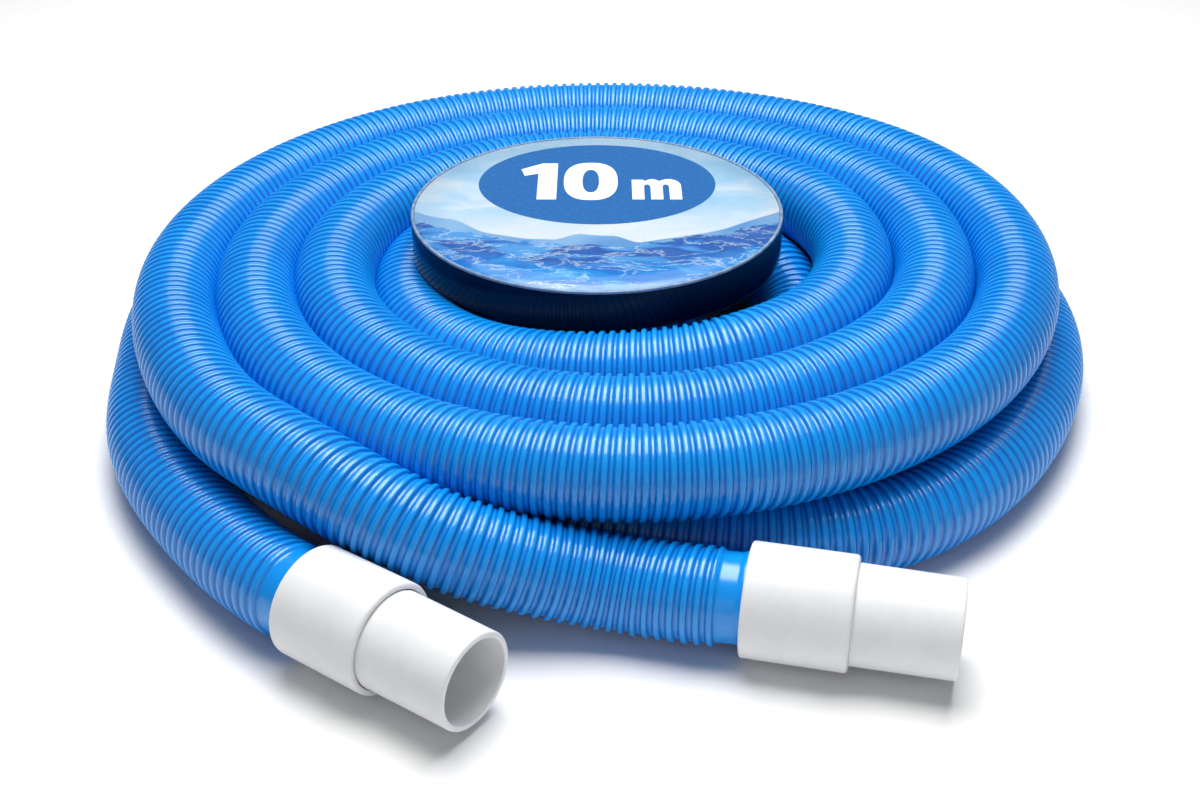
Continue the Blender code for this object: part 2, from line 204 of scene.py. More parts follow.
def turn_radius(shape, angle, squeeze=0.0):
    """Each turn copies the first one, one hose width nearer the middle, or a little less where squeezed."""
    count = np.arange(-2, 48)
    steps = [TURN_STEP - squeeze * max(0.0, math.cos(math.radians(30.0 * k - SQUEEZE_ANGLE))) for k in count]
    values = [shape[k % 12] - step * (k // 12) for k, step in zip(count, steps)]
    return float(cubic(count * 30.0, values, np.array([float(angle)]))[0])


def upper_height(angle):
    """The upper layer rides over the place where the lower turns step inward."""
    return UPPER_HEIGHT + HUMP_HEIGHT * max(0.0, math.cos(math.radians(angle - HUMP_ANGLE))) ** 4


def polar(angle, radius, height):
    a = math.radians(angle)
    return COIL_CENTRE + Vector((-radius * math.sin(a), -radius * math.cos(a), height))


def cuff_point(base, heading, along, inward, height):
    a = math.radians(heading)
    x = math.cos(a) * along - math.sin(a) * inward
    y = math.sin(a) * along + math.cos(a) * inward
    return COIL_CENTRE + base + Vector((x, y, height))


def middle_bend():
    """Points round two half circles side by side: over the top of the left one, under the right one."""
    points = []
    for across, turns in ((1, (180, 140, 100, 60, 20)), (3, (200, 240, 280, 320))):
        for turn in turns:
            a = math.radians(turn)
            step = Vector((across + math.cos(a), math.sin(a), 0.0)) * BEND_RADIUS
            points.append(COIL_CENTRE + BEND_START + step)
    return points


def route():
    """The hose's own points, from inside the left cuff to inside the right one."""
    points = [cuff_point(LEFT_CUFF, LEFT_HEADING, *knot) for knot in LEFT_ENTRY]
    points += [polar(*knot) for knot in TAIL_LEFT]
    for a in range(LOWER_START, LOWER_LAST + 1, TURN_DEGREES):
        points.append(polar(a, turn_radius(LOWER_TURN, a), LOWER_HEIGHT))
    points += [polar(*knot) for knot in MIDDLE_IN]
    points += middle_bend()
    points += [polar(*knot) for knot in MIDDLE_OUT]
    for a in range(UPPER_LAST, UPPER_SEAM - 1, -TURN_DEGREES):
        points.append(polar(a, turn_radius(UPPER_TURN, a, UPPER_SQUEEZE), upper_height(a)))
    points += [polar(*knot) for knot in TAIL_RIGHT]
    points += [cuff_point(RIGHT_CUFF, RIGHT_HEADING, *knot) for knot in RIGHT_ENTRY]
    return np.array([p[:] for p in points])


def centreline():
    """The route as a smooth curve, as evenly spaced points."""
    points = route()
    reach = np.linalg.norm(np.diff(points, axis=0), axis=1)
    knots = np.concatenate([[0.0], np.cumsum(np.sqrt(reach))])
    fine = cubic(knots, points, np.linspace(0.0, knots[-1], FINE_POINTS))
    along = np.concatenate([[0.0], np.cumsum(np.linalg.norm(np.diff(fine, axis=0), axis=1))])
    even = np.linspace(0.0, along[-1], int(round(along[-1] / LINE_STEP)) + 1)
    return even, np.stack([np.interp(even, along, fine[:, k]) for k in range(3)], axis=1)


# ---------------------------------------------------------------- node materials

class Shader:
    """A Principled material whose inputs are fed by small node chains."""

    def __init__(self, name, colour, roughness, **sockets):
        self.material = bpy.data.materials.new(name)
        self.material.use_nodes = True
        self.tree = self.material.node_tree
        self.main = self.tree.nodes["Principled BSDF"]
        self.set("Base Color", (*colour, 1.0))
        self.set("Roughness", roughness)
        for socket, value in sockets.items():
            self.set(socket.replace("_", " "), value)
        self.material.diffuse_color = (*colour, 1.0)

    def set(self, socket, value):
        self.main.inputs[socket].default_value = value

    def node(self, kind, **inputs):
        """A new node with its inputs fed: by name, or as i0, i1 and so on by their place."""
        node = self.tree.nodes.new(kind)
        for key, value in inputs.items():
            self.feed(node.inputs[int(key[1:]) if key[0] == "i" and key[1:].isdigit() else key], value)
        return node

    def feed(self, socket, value):
        if isinstance(value, bpy.types.NodeSocket):
            self.tree.links.new(value, socket)
        else:
            socket.default_value = value

    def place(self, scale=(1.0, 1.0, 1.0), offset=(0.0, 0.0, 0.0)):
        """The object's own coordinates, in metres, scaled and moved."""
        source = self.tree.nodes.new("ShaderNodeTexCoord").outputs["Object"]
        mapping = self.node("ShaderNodeMapping", Vector=source, Location=offset, Scale=scale)
        return mapping.outputs["Vector"]

    def noise(self, place, scale, detail=4.0, rough=0.55, distortion=0.0):
        made = self.node("ShaderNodeTexNoise", Vector=place, Scale=scale, Detail=detail,
                         Roughness=rough, Distortion=distortion)
        return made.outputs["Fac"]

    def cells(self, place, scale):
        return self.node("ShaderNodeTexVoronoi", Vector=place, Scale=scale).outputs["Distance"]

    def attribute(self, name):
        made = self.tree.nodes.new("ShaderNodeAttribute")
        made.attribute_name = name
        return made.outputs["Fac"]

    def math(self, operation, first, second=0.0):
        made = self.node("ShaderNodeMath", i0=first, i1=second)
        made.operation = operation
        return made.outputs[0]

    def remap(self, value, low, high, to_low=0.0, to_high=1.0, smooth=False):
        made = self.node("ShaderNodeMapRange", i0=value, i1=low, i2=high, i3=to_low, i4=to_high)
        made.interpolation_type = "SMOOTHSTEP" if smooth else "LINEAR"
        return made.outputs["Result"]

    def ramp(self, value, *stops):
        made = self.node("ShaderNodeValToRGB", Fac=value)
        line = made.color_ramp.elements
        while len(line) < len(stops):
            line.new(1.0)
        for element, (at, colour) in zip(line, stops):
            element.position = at
            element.color = (*colour, 1.0)
        return made.outputs["Color"]

    def mix(self, share, first, second):
        made = self.tree.nodes.new("ShaderNodeMix")
        made.data_type = "RGBA"
        for socket, value in zip((made.inputs[0], made.inputs[6], made.inputs[7]), (share, first, second)):
            self.feed(socket, (*value, 1.0) if isinstance(value, tuple) and len(value) == 3 else value)
        return made.outputs[2]

    def split(self, place):
        return self.node("ShaderNodeSeparateXYZ", Vector=place).outputs

    def colour(self, value):
        self.feed(self.main.inputs["Base Color"], value)

    def roughness(self, value):
        self.feed(self.main.inputs["Roughness"], value)

    def bump(self, height, depth, strength=1.0):
        made = self.node("ShaderNodeBump", Height=height, Distance=depth, Strength=strength)
        self.feed(self.main.inputs["Normal"], made.outputs["Normal"])


def hose_plastic():
    """Glossy flexible blue plastic: painted shade darkens the ribs' feet, with paler wear and fine scuffs.
    """
    s = Shader("hose_plastic", (0.0030, 0.285, 0.870), 0.18, Specular_IOR_Level=0.62)
    cloud = s.noise(s.place(), 22.0, 3.0)
    # foot: a darker blue, painted shade for the shadow where each rib meets its groove
    foot = s.mix(s.remap(cloud, 0.35, 0.68), (0.0006, 0.148, 0.530), (0.0008, 0.170, 0.590))
    skin = s.mix(s.remap(cloud, 0.35, 0.68), (0.0015, 0.255, 0.770), (0.0035, 0.300, 0.840))
    wear = s.remap(s.noise(s.place(), 160.0, 4.0), 0.40, 0.75, 0.0, 0.30)
    skin = s.mix(wear, skin, (0.010, 0.350, 0.880))
    # the tone attribute mixes the painted foot shade into the skin's colour
    s.colour(s.mix(s.remap(s.attribute("tone"), 0.05, 0.85, 0.0, 1.0, True), foot, skin))
    scuff = s.noise(s.place((1.0, 1.0, 3.0)), 420.0, 5.0, 0.65)
    s.roughness(s.remap(scuff, 0.25, 0.80, 0.17, 0.29))
    s.bump(scuff, 0.00008, 0.45)
    return s.material


def cuff_plastic():
    """Satin white moulded plastic with a very fine grain and a trace of handling marks."""
    s = Shader("cuff_plastic", (0.81, 0.82, 0.83), 0.42, Specular_IOR_Level=0.45)
    marks = s.noise(s.place(), 60.0, 5.0, 0.6)
    s.colour(s.mix(s.remap(marks, 0.42, 0.78), (0.825, 0.833, 0.842), (0.770, 0.780, 0.795)))
    grain = s.noise(s.place(), 1500.0, 3.0)
    s.roughness(s.remap(marks, 0.30, 0.75, 0.36, 0.50))
    s.bump(grain, 0.00005, 0.45)
    return s.material


def washer_rubber():
    """Dusty black rubber."""
    s = Shader("washer_rubber", (0.030, 0.031, 0.034), 0.72)
    dust = s.noise(s.place(), 240.0, 4.0)
    s.colour(s.mix(s.remap(dust, 0.45, 0.75), (0.026, 0.027, 0.030), (0.070, 0.071, 0.074)))
    s.roughness(s.remap(dust, 0.3, 0.7, 0.62, 0.82))
    s.bump(dust, 0.0001, 0.5)
    return s.material


def navy_film():
    """Gloss film round the label's side, almost black, with the faint waves of a wrapped film."""
    s = Shader("navy_film", (0.0005, 0.0020, 0.018), 0.20, Specular_IOR_Level=0.26)
    tone = s.noise(s.place((1.0, 1.0, 0.35)), 26.0, 3.0)
    s.colour(s.mix(s.remap(tone, 0.35, 0.70), (0.0003, 0.0014, 0.013), (0.0008, 0.0028, 0.024)))
    s.roughness(s.remap(s.noise(s.place(), 90.0, 4.0), 0.3, 0.75, 0.11, 0.24))
    s.bump(s.noise(s.place((1.0, 1.0, 0.25)), 38.0, 2.0), 0.0007, 0.35)
    return s.material


def foam_board():
    """Light grey closed-cell foam."""
    s = Shader("foam_board", (0.66, 0.68, 0.70), 0.9)
    cell = s.cells(s.place(), 620.0)
    s.colour(s.mix(s.remap(cell, 0.0, 0.7), (0.60, 0.62, 0.64), (0.72, 0.74, 0.76)))
    s.roughness(s.remap(cell, 0.0, 0.8, 0.82, 0.96))
    s.bump(cell, 0.0005, 0.6)
    return s.material


def rim_strip():
    """Grey-blue edging, a little worn."""
    s = Shader("rim_strip", (0.20, 0.30, 0.44), 0.34)
    wear = s.noise(s.place(), 180.0, 4.0)
    s.colour(s.mix(s.remap(wear, 0.40, 0.72), (0.150, 0.240, 0.370), (0.290, 0.390, 0.520)))
    s.roughness(s.remap(wear, 0.3, 0.7, 0.26, 0.46))
    s.bump(wear, 0.00006, 0.4)
    return s.material


def ink(name, dark, light, roughness):
    """Flat ink under the gloss film, with the slight mottle of print."""
    s = Shader(name, light, roughness)
    mottle = s.noise(s.place(), 300.0, 4.0)
    s.colour(s.mix(s.remap(mottle, 0.35, 0.70), dark, light))
    s.roughness(s.remap(mottle, 0.3, 0.7, roughness - 0.05, roughness + 0.07))
    s.bump(mottle, 0.000004, 0.1)
    return s.material


def picture_print(radius):
    """A plain picture of sky over water: pale clouds, far swells, dark broken waves, bright water."""
    s = Shader("picture_print", (0.30, 0.50, 0.70), 0.18)

    def field(wide, tall, scale, detail, rough=0.5, bend=0.0, shift=(0.0, 0.0, 0.0)):
        return s.noise(s.place((wide / radius, tall / radius, 0.0), shift), scale, detail, rough, bend)

    def total(first, *others):
        for other in others:
            first = s.math("ADD", first, other)
        return first

    across, up = s.split(s.place((1.0 / radius, 1.0 / radius, 0.0)))[:2]
    aside = s.math("ABSOLUTE", across)
    cloud = field(1.3, 2.6, 1.1, 6.0, 0.62, 0.4)
    sky = s.ramp(cloud, (0.36, (0.250, 0.450, 0.640)), (0.50, (0.330, 0.510, 0.670)),
                 (0.64, (0.510, 0.590, 0.660)))
    sky = s.mix(s.remap(up, 0.10, -0.42, 0.0, 0.75, True), sky, (0.620, 0.650, 0.680))
    bowl = s.math("MULTIPLY", s.math("MULTIPLY", across, across), 0.30)
    swell = field(2.4, 2.4, 1.0, 1.0, shift=(3.1, 0.0, 0.0))
    middle_hill = s.remap(aside, 0.24, 0.08, 0.0, 0.075, True)
    side_hills = s.remap(aside, 0.55, 0.80, 0.0, 0.070, True)
    far = total(bowl, -0.435, middle_hill, side_hills, s.remap(swell, 0.3, 0.7, -0.025, 0.025))
    chop = field(3.0, 4.5, 1.5, 5.0, 0.62)
    near = total(bowl, -0.480, s.remap(chop, 0.30, 0.70, -0.070, 0.070))
    haze = s.mix(s.remap(swell, 0.35, 0.65), (0.100, 0.250, 0.500), (0.200, 0.370, 0.590))
    scene = s.mix(s.remap(s.math("SUBTRACT", far, up), -0.004, 0.008), sky, haze)
    depth = s.math("SUBTRACT", near, up)
    patch = field(2.2, 6.5, 1.2, 2.5, 0.5, 0.5, (0.4, 1.7, 0.0))
    waves = s.ramp(patch, (0.40, (0.070, 0.260, 0.580)), (0.47, (0.040, 0.175, 0.480)),
                   (0.505, (0.022, 0.088, 0.330)), (0.62, (0.034, 0.110, 0.370)))
    ripple = field(1.8, 3.6, 1.2, 6.0, 0.60, 1.2, (0.7, 0.3, 0.0))
    shore = s.ramp(ripple, (0.40, (0.006, 0.140, 0.500)), (0.56, (0.018, 0.220, 0.580)),
                   (0.68, (0.090, 0.350, 0.640)), (0.78, (0.340, 0.540, 0.680)))
    water = s.mix(s.remap(depth, 0.16, 0.34, 0.0, 1.0, True), waves, shore)
    lace = field(2.4, 6.5, 1.3, 6.5, 0.62, 0.6, (1.9, 0.6, 0.0))
    ridge = s.math("ABSOLUTE", s.math("SUBTRACT", lace, 0.5))
    water = s.mix(s.remap(ridge, 0.024, 0.004, 0.0, 0.50, True), water, (0.480, 0.610, 0.700))
    s.colour(s.mix(s.remap(depth, -0.004, 0.008), scene, water))
    s.roughness(s.remap(s.noise(s.place(), 120.0, 4.0), 0.3, 0.7, 0.13, 0.20))
    s.bump(s.noise(s.place(), 16.0, 2.0), 0.0006, 0.12)
    return s.material


def floor_paper():
    """Matt white paper under the object."""
    s = Shader("floor_paper", (0.93, 0.93, 0.93), 0.85, Specular_IOR_Level=0.12)
    grain = s.noise(s.place(), 500.0, 3.0)
    s.roughness(s.remap(grain, 0.3, 0.7, 0.8, 0.92))
    return s.material


# ---------------------------------------------------------------- meshes

def add_object(name, mesh, material):
    mesh.materials.append(material)
    obj = bpy.data.objects.new(name, mesh)
    bpy.context.scene.collection.objects.link(obj)
    return obj


def plain_mesh(name, verts, faces, material):
    """A smooth-shaded mesh with its sharp edges kept."""
    mesh = bpy.data.meshes.new(name)
    mesh.from_pydata([tuple(v) for v in verts], [], faces)
    shape = bmesh.new()
    shape.from_mesh(mesh)
    bmesh.ops.recalc_face_normals(shape, faces=shape.faces)
    shape.to_mesh(mesh)
    shape.free()
    mesh.shade_smooth()
    mesh.set_sharp_from_angle(angle=math.radians(SHARP_EDGE))
    return add_object(name, mesh, material)


def rounded(points, radii, steps):
    """A closed outline with each corner rounded by its own radius, or left sharp at 0."""
    out = []
    for k, (corner, radius) in enumerate(zip(points, radii)):
        here = Vector(corner)
        before = (Vector(points[k - 1]) - here).normalized()
        after = (Vector(points[(k + 1) % len(points)]) - here).normalized()
        if radius <= 0.0:
            out.append(here)
            continue
        for n in range(steps + 1):
            t = n / steps
            out.append(here + before * radius * (1 - t) ** 2 + after * radius * t**2)
    return out


def lathe(name, outline, sides, material, place):
    """Turns a closed outline of (along, radius) about the X axis of place."""
    verts = []
    for along, radius in outline:
        for k in range(sides):
            a = 2 * math.pi * k / sides
            verts.append(place @ Vector((along, radius * math.cos(a), radius * math.sin(a))))
    count = len(outline)
    faces = []
    for i in range(count):
        for k in range(sides):
            n = (k + 1) % sides
            m = (i + 1) % count
            faces.append((i * sides + k, i * sides + n, m * sides + n, m * sides + k))
    return plain_mesh(name, verts, faces, material)


class Hose:
    """The ribbed skin, the bore and the cut ends of the hose, as one closed mesh.

    The skin's grid follows the rib's helix: going once round the hose moves one pitch along it."""

    def __init__(self, along, line):
        self.along = along
        self.line = line
        self.length = along[-1]
        start = CUFF_DEPTH + PLAIN_BAND
        self.ribbed = (start, self.length - start)
        self.ribs = int(round((self.ribbed[1] - self.ribbed[0]) / RIB_PITCH))
        self.pitch = (self.ribbed[1] - self.ribbed[0]) / self.ribs
        tangent = np.gradient(line, axis=0)
        tangent /= np.linalg.norm(tangent, axis=1)[:, None]
        side = np.cross(tangent, (0.0, 0.0, 1.0))
        side /= np.linalg.norm(side, axis=1)[:, None]
        self.side = side
        self.up = np.cross(side, tangent)

    def surface(self, s, turn, radius):
        """Points at a distance along the hose, a share of a turn round it, and a radius."""
        place, side, up = (
            np.stack([np.interp(s, self.along, field[:, k]) for k in range(3)], axis=-1)
            for field in (self.line, self.side, self.up)
        )
        angle = 2 * np.pi * turn
        return place + radius[..., None] * (side * np.cos(angle)[..., None] + up * np.sin(angle)[..., None])

    def plain_radius(self, s):
        """The smooth end: narrow behind the cuff, flared where it enters."""
        inside = np.minimum(s, self.length - s)
        t = np.clip((CUFF_DEPTH + FLARE_LENGTH - inside) / FLARE_LENGTH, 0.0, 1.0)
        return PLAIN + (FLARE - PLAIN) * t * t * (3 - 2 * t)

    def skin_grid(self):
        """Arc length, share of a turn, radius and tone (0 at a rib's foot, where shade is painted) of the
        skin, row by row.
        """
        steps = len(RIB)
        extra = int(math.ceil((CUFF_DEPTH + PLAIN_BAND) / self.pitch)) - 1
        rows = (self.ribs + 2 * extra - 1) * steps
        shares, heights, tones = (np.array(column) for column in zip(*RIB))
        row = np.arange(rows + 1)
        turn = np.arange(SIDES) / SIDES
        base = (row // steps - extra + shares[row % steps]) * self.pitch + self.ribbed[0]
        s = base[:, None] + turn[None, :] * self.pitch
        low, high = self.ribbed
        fade = np.clip(np.minimum(s - low, high - s) / (RIB_FADE * self.pitch), 0.0, 1.0)
        fade = fade * fade * (3 - 2 * fade)
        ground = VALLEY + (self.plain_radius(s) - VALLEY) * (1 - fade)
        radius = ground + (CREST - VALLEY) * heights[row % steps][:, None] * fade
        tone = 1.0 - (1.0 - tones[row % steps])[:, None] * fade
        return s, np.broadcast_to(turn, s.shape), radius, tone

    def build(self, name, material):
        """The skin's quads, their wrap round the helix, then the cut ends and the bore."""
        steps = len(RIB)
        s, turn, radius, tone = self.skin_grid()
        rows = len(s)
        skin = self.surface(s, turn, radius).reshape(-1, 3)
        index = np.arange(rows * SIDES).reshape(rows, SIDES)
        quads = [np.stack([index[:-1, :-1], index[1:, :-1], index[1:, 1:], index[:-1, 1:]], -1)
                 .reshape(-1, 4)]
        wrap = rows - steps
        quads.append(np.stack([index[:wrap - 1, -1], index[1:wrap, -1], index[steps + 1:, 0][:wrap - 1],
                               index[steps:-1, 0][:wrap - 1]], -1))
        rings, ring_quads, ring_fans, ring_s = self.end_rings(index, steps)
        verts = np.concatenate([skin, rings])
        faces = [np.concatenate(quads + ring_quads), ring_fans]
        along = np.concatenate([s.reshape(-1), ring_s])
        around = np.concatenate([turn.reshape(-1), np.tile(np.arange(SIDES) / SIDES, len(ring_s) // SIDES)])
        tones = np.concatenate([tone.reshape(-1), np.ones(len(ring_s))])
        return self.mesh(name, verts, faces, along, around, tones, material)

    def end_rings(self, index, steps):
        """Flat cut ends and the bore: rings of points square to the hose, from end to end inside it."""
        bore_count = int(self.length / BORE_STEP)
        inside = np.linspace(0.0, self.length, bore_count)
        where = np.concatenate([[0.0], inside, [self.length]])
        radii = np.concatenate([[FLARE], np.full(bore_count, BORE), [FLARE]])
        turn = np.arange(SIDES) / SIDES
        s = np.repeat(where[:, None], SIDES, 1)
        rings = self.surface(s, np.broadcast_to(turn, s.shape), np.repeat(radii[:, None], SIDES, 1))
        ring = index.size + np.arange(len(where) * SIDES).reshape(-1, SIDES)
        ahead = np.roll(ring, -1, axis=1)
        quads = [np.stack([ring[:-1], ahead[:-1], ahead[1:], ring[1:]], -1).reshape(-1, 4)]
        first, last = index[0], index[-1]
        quads.append(np.stack([ring[0, :-1], first[:-1], first[1:], ring[0, 1:]], -1))
        quads.append(np.stack([ring[-1, 1:], last[1:], last[:-1], ring[-1, :-1]], -1))
        seam_start = [ring[0, -1], first[-1], *index[steps::-1, 0], ring[0, 0]]
        seam_stop = [ring[-1, 0], last[0], *index[-steps - 1:, -1], ring[-1, -1]]
        return rings.reshape(-1, 3), quads, [seam_start, seam_stop], s.reshape(-1)

    def mesh(self, name, verts, faces, along, around, tones, material):
        quads, fans = faces
        loops = np.concatenate([quads.reshape(-1)] + [np.array(fan) for fan in fans])
        sizes = np.concatenate([np.full(len(quads), 4), [len(fan) for fan in fans]])
        mesh = bpy.data.meshes.new(name)
        mesh.vertices.add(len(verts))
        mesh.vertices.foreach_set("co", verts.astype(np.float32).reshape(-1))
        mesh.loops.add(len(loops))
        mesh.loops.foreach_set("vertex_index", loops.astype(np.int32))
        mesh.polygons.add(len(sizes))
        starts = np.concatenate([[0], np.cumsum(sizes)[:-1]])
        mesh.polygons.foreach_set("loop_start", starts.astype(np.int32))
        mesh.update(calc_edges=True)
        mesh.validate()
        mesh.shade_smooth()
        shade = mesh.attributes.new("tone", "FLOAT", "POINT")
        shade.data.foreach_set("value", tones.astype(np.float32))
        self.unfold(mesh, loops, sizes, along, around)
        return add_object(name, mesh, material)

    def unfold(self, mesh, loops, sizes, along, around):
        """Lays the skin out in rows, so that every part of it has its own place on a picture."""
        face = np.repeat(np.arange(len(sizes)), sizes)
        starts = np.concatenate([[0], np.cumsum(sizes)[:-1]])
        share = along[loops] / self.length * UV_ROWS
        first = np.minimum.reduceat(share, starts)[face]
        row = np.clip(np.floor(first), 0, UV_ROWS - 1)
        turn = around[loops].copy()
        wraps = (np.maximum.reduceat(turn, starts) - np.minimum.reduceat(turn, starts))[face] > 0.5
        turn = np.where(wraps & (turn < 0.5), turn + 1.0, turn)
        u = np.clip((share - row) * UV_LENGTH, 0.0, 1.0)
        v = (row + np.clip(turn, 0.0, 1.0) * UV_HEIGHT + UV_MARGIN) / UV_ROWS
        layer = mesh.uv_layers.new(name="OFBake")
        layer.data.foreach_set("uv", np.stack([u, v], -1).astype(np.float32).reshape(-1))


# ---------------------------------------------------------------- pieces

def cuff_axis(base, heading):
    origin = COIL_CENTRE + base + Vector((0.0, 0.0, COLLAR_RADIUS))
    return Matrix.Translation(origin) @ Matrix.Rotation(math.radians(heading), 4, "Z")


def collar(side, place, material):
    """The wide half of a cuff: a soft rounded lip in front, where the nozzle turns in it."""
    points = [(0.0, COLLAR_BORE), (CHAMBER_START, COLLAR_BORE), (CHAMBER_START, CHAMBER_RADIUS),
              (CHAMBER_END, CHAMBER_RADIUS), (CHAMBER_END, LIP_BORE), (COLLAR_LENGTH, LIP_BORE),
              (COLLAR_LENGTH, COLLAR_RADIUS), (0.0, COLLAR_RADIUS)]
    radii = [0.0006, 0.0, 0.0, 0.0, 0.0, 0.0012, 0.0024, 0.0016]
    piece = lathe("collar_" + side, rounded(points, radii, CUFF_CORNER), CUFF_SIDES, material, place)
    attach(piece, "hose")
    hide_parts("cuff_collar_" + side)
    return piece


def nozzle(side, place, material):
    """The narrow half: a flange held in the collar, a slight taper, a rounded mouth."""
    points = [(NOZZLE_BACK, NECK_BORE), (COLLAR_LENGTH, NECK_BORE), (NOZZLE_END, MOUTH_BORE),
              (NOZZLE_END, MOUTH_RADIUS), (FLANGE_FRONT, NOZZLE_RADIUS), (FLANGE_FRONT, FLANGE_RADIUS),
              (NOZZLE_BACK, FLANGE_RADIUS)]
    radii = [0.0005, 0.004, 0.0008, 0.0016, 0.0, 0.0003, 0.0003]
    piece = lathe("nozzle_" + side, rounded(points, radii, CUFF_CORNER), CUFF_SIDES, material, place)
    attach(piece, "nozzle_" + side)
    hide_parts("cuff_nozzle_" + side)
    return piece


def node_height(node):
    low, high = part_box(node)
    return low.z, high.z


def node_radius(node):
    low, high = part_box(node)
    return (high.x - low.x) / 2


def label_ring(name, node, radius, wall, corners, material):
    """A wall round the label, as high as its CAD node."""
    low, high = node_height(node)
    points = [(low, radius - wall), (high, radius - wall), (high, radius), (low, radius)]
    upright = Matrix.Translation(LABEL_CENTRE) @ Matrix.Rotation(math.radians(-90.0), 4, "Y")
    piece = lathe(name, rounded(points, corners, LABEL_CORNER), LABEL_SIDES, material, upright)
    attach(piece, "label")
    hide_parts(node)


def label_disc(name, node, radius, edge, material):
    """A disc with bevelled edges, as high as its CAD node: rings of quads round a centre point."""
    low, high = node_height(node)
    shape = bmesh.new()
    outline = [(radius - edge, low), (radius, low + edge), (radius, high - edge), (radius - edge, high)]
    inner = [share * radius for share in DISC_RINGS]
    profile = [(r, low) for r in reversed(inner)] + outline + [(r, high) for r in inner]
    rings = []
    for r, z in profile:
        ring = []
        for k in range(LABEL_SIDES):
            a = 2 * math.pi * k / LABEL_SIDES
            ring.append(shape.verts.new((r * math.cos(a), r * math.sin(a), z)))
        rings.append(ring)
    for one, two in zip(rings, rings[1:]):
        for k in range(LABEL_SIDES):
            n = (k + 1) % LABEL_SIDES
            shape.faces.new((one[k], one[n], two[n], two[k]))
    for ring, z in ((rings[0], low), (rings[-1], high)):
        centre = shape.verts.new((0.0, 0.0, z))
        for k in range(LABEL_SIDES):
            shape.faces.new((ring[k], ring[(k + 1) % LABEL_SIDES], centre))
    bmesh.ops.recalc_face_normals(shape, faces=shape.faces)
    mesh = bpy.data.meshes.new(name)
    shape.to_mesh(mesh)
    shape.free()
    mesh.shade_smooth()
    mesh.set_sharp_from_angle(angle=math.radians(DISC_SHARP))
    piece = add_object(name, mesh, material)
    piece.location = LABEL_CENTRE
    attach(piece, "label")
    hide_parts(node)


def printed(name, loops, top, material):
    """A thin closed layer of ink. One loop is filled; two loops of as many points make a ring."""
    shape = bmesh.new()
    levels = []
    for height in (0.0, INK_THICKNESS):
        levels.append([[shape.verts.new((x, y, height)) for x, y in loop] for loop in loops])
    count = len(loops[0])
    for ring in range(len(loops)):
        for k in range(count):
            n = (k + 1) % count
            shape.faces.new((levels[0][ring][k], levels[0][ring][n], levels[1][ring][n], levels[1][ring][k]))
    for level in levels:
        if len(loops) == 1:
            shape.faces.new(level[0])
            continue
        for k in range(count):
            n = (k + 1) % count
            shape.faces.new((level[0][k], level[0][n], level[1][n], level[1][k]))
    bmesh.ops.recalc_face_normals(shape, faces=shape.faces)
    bmesh.ops.triangulate(shape, faces=[face for face in shape.faces if len(face.verts) > 4])
    mesh = bpy.data.meshes.new(name)
    shape.to_mesh(mesh)
    shape.free()
    piece = add_object(name, mesh, material)
    piece.location = LABEL_CENTRE + Vector((0.0, 0.0, top))
    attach(piece, "label")


def oval(middle, half, power=2.0):
    """An ellipse, or with a higher power a squarer one."""
    points = []
    for k in range(LABEL_SIDES):
        a = 2 * math.pi * k / LABEL_SIDES
        x = math.copysign(abs(math.cos(a)) ** (2 / power), math.cos(a)) * half[0]
        y = math.copysign(abs(math.sin(a)) ** (2 / power), math.sin(a)) * half[1]
        points.append((middle[0] + x, middle[1] + y))
    return points


def arch(left, right, foot, top):
    """Points over an arch from its left foot to its right foot."""
    middle = (left + right) / 2
    half = (right - left) / 2
    turns = [math.pi * (1 - k / ARCH_STEPS) for k in range(ARCH_STEPS + 1)]
    return [(middle + half * math.cos(a), foot + (top - foot) * math.sin(a)) for a in turns]


def unit_outline():
    """A bold m: three stems under two round arches, whose outer sides stop where they meet."""
    first, second, third = (UNIT_LEFT + k * (UNIT_STEM + UNIT_GAP) for k in range(3))
    shoulder = UNIT_TOP - UNIT_SHOULDER
    crown = UNIT_TOP - UNIT_CROWN
    flag = UNIT_TOP - FLAG_DROP
    points = [(first, MARK_FOOT), (first, flag), (first + FLAG_WIDTH, flag)]
    points += arch(first + FLAG_ARCH, second + 0.90 * UNIT_STEM, shoulder, UNIT_TOP)[3:-4]
    points += arch(second + 0.50 * UNIT_STEM, third + UNIT_STEM, shoulder, UNIT_TOP)[3:]
    points += [(third + UNIT_STEM, MARK_FOOT), (third, MARK_FOOT)]
    points += arch(second + UNIT_STEM, third, crown - UNIT_HOLLOW, crown)[::-1]
    points += [(second + UNIT_STEM, MARK_FOOT), (second, MARK_FOOT)]
    points += arch(first + UNIT_STEM, second, crown - UNIT_HOLLOW, crown)[::-1]
    points += [(first + UNIT_STEM, MARK_FOOT)]
    return points


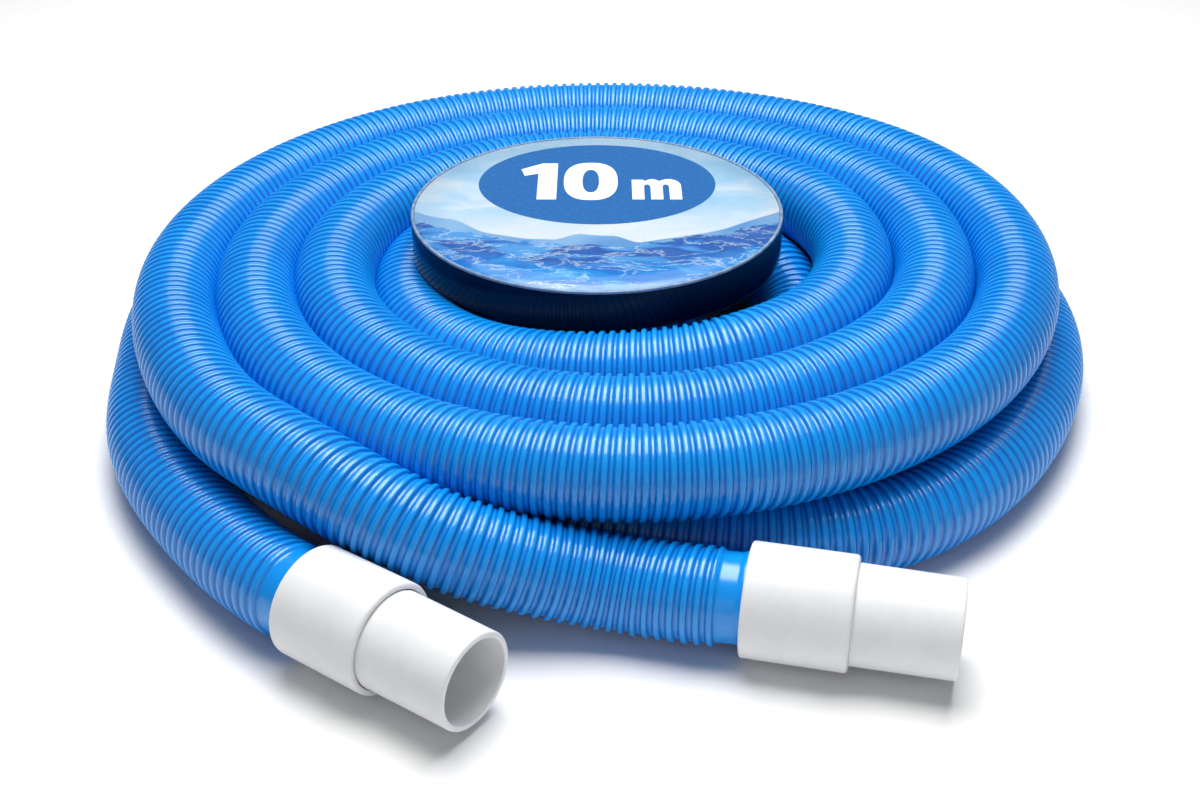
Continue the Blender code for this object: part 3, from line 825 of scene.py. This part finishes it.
def dress_label():
    """The label's pieces from the outside in, then its print. The lists are corner radii."""
    radius = node_radius("label_band")
    card_top = node_height("label_card")[1]
    navy, foam = navy_film(), foam_board()
    label_ring("band", "label_band", radius, BAND_WALL, [0.0004, 0.0004, 0.0005, 0.0008], navy)
    label_ring("rim", "label_rim", radius, RIM_WIDTH, [0.0003, 0.0005, 0.0009, 0.0003], rim_strip())
    card_radius = radius - RIM_WIDTH - CARD_GAP
    label_disc("card", "label_card", card_radius, 0.0004, picture_print(card_radius))
    label_disc("base", "label_base", node_radius("label_base"), 0.0005, navy)
    label_disc("core", "label_core", node_radius("label_core"), 0.0006, foam)
    label_disc("hub", "label_hub", node_radius("label_hub"), 0.0020, foam)
    blue = ink("oval_ink", (0.015, 0.115, 0.350), (0.020, 0.132, 0.385), 0.22)
    white = ink("mark_ink", (0.87, 0.88, 0.89), (0.92, 0.92, 0.92), 0.24)
    oval_top = card_top + LAYER_GAP
    mark_top = oval_top + INK_THICKNESS + LAYER_GAP
    printed("label_oval", [oval((0.0, OVAL_BEHIND), (OVAL_WIDTH, OVAL_DEPTH))], oval_top, blue)
    printed("mark_one", [ONE], mark_top, white)
    zero = [oval(ZERO_MIDDLE, ZERO_OUTER, 2.5), oval(ZERO_MIDDLE, ZERO_INNER, 2.3)]
    printed("mark_zero", zero, mark_top, white)
    printed("mark_unit", [unit_outline()], mark_top, white)


def dress_cuffs():
    """Both cuffs with their washers: all the pieces that are fixed to the hose's ends."""
    plastic, rubber = cuff_plastic(), washer_rubber()
    made = []
    for side, base, heading in (("left", LEFT_CUFF, LEFT_HEADING), ("right", RIGHT_CUFF, RIGHT_HEADING)):
        place = cuff_axis(base, heading)
        made += [collar(side, place, plastic), nozzle(side, place, plastic)]
        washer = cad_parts["cuff_washer_" + side]
        washer.data.materials.clear()
        washer.data.materials.append(rubber)
        made.append(washer)
    return made


def lay_hose(fittings):
    along, line = centreline()
    hose = Hose(along, line)
    piece = hose.build("ribbed_hose", hose_plastic())
    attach(piece, "hose")
    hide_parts("hose_coil_lower", "hose_coil_upper", "hose_middle", "hose_tail_left",
                "hose_tail_right", "hose_end_left", "hose_end_right")


# ---------------------------------------------------------------- studio

def studio():
    mesh = bpy.data.meshes.new("floor")
    corners = [(x * FLOOR_HALF, y * FLOOR_HALF, 0.0) for x, y in ((-1, -1), (1, -1), (1, 1), (-1, 1))]
    mesh.from_pydata(corners, [], [(0, 1, 2, 3)])
    floor = add_object("floor", mesh, floor_paper())
    floor.location.z = -FLOOR_DROP
    world = bpy.data.worlds.new("studio")
    world.use_nodes = True
    sky = world.node_tree.nodes["Background"].inputs
    sky["Color"].default_value = SKY_COLOUR
    sky["Strength"].default_value = SKY_STRENGTH
    bpy.context.scene.world = world
    for light in LIGHTS:
        softbox(*light)


def softbox(name, place, target, size, power):
    data = bpy.data.lights.new(name, "AREA")
    data.shape = "RECTANGLE"
    data.size, data.size_y = size
    data.energy = power
    light = bpy.data.objects.new(name, data)
    bpy.context.scene.collection.objects.link(light)
    light.location = place
    light.rotation_euler = (Vector(target) - Vector(place)).to_track_quat("-Z", "Y").to_euler()


def camera():
    data = bpy.data.cameras.new("camera")
    data.lens = CAMERA_LENS
    data.sensor_width = SENSOR_WIDTH
    cam = bpy.data.objects.new("camera", data)
    bpy.context.scene.collection.objects.link(cam)
    cam.location = CAMERA_PLACE
    cam.rotation_euler = (CAMERA_TARGET - CAMERA_PLACE).to_track_quat("-Z", "Y").to_euler()
    bpy.context.scene.camera = cam


bpy.context.scene.view_settings.view_transform = "Standard"
camera()
studio()
lay_hose(dress_cuffs())
dress_label()
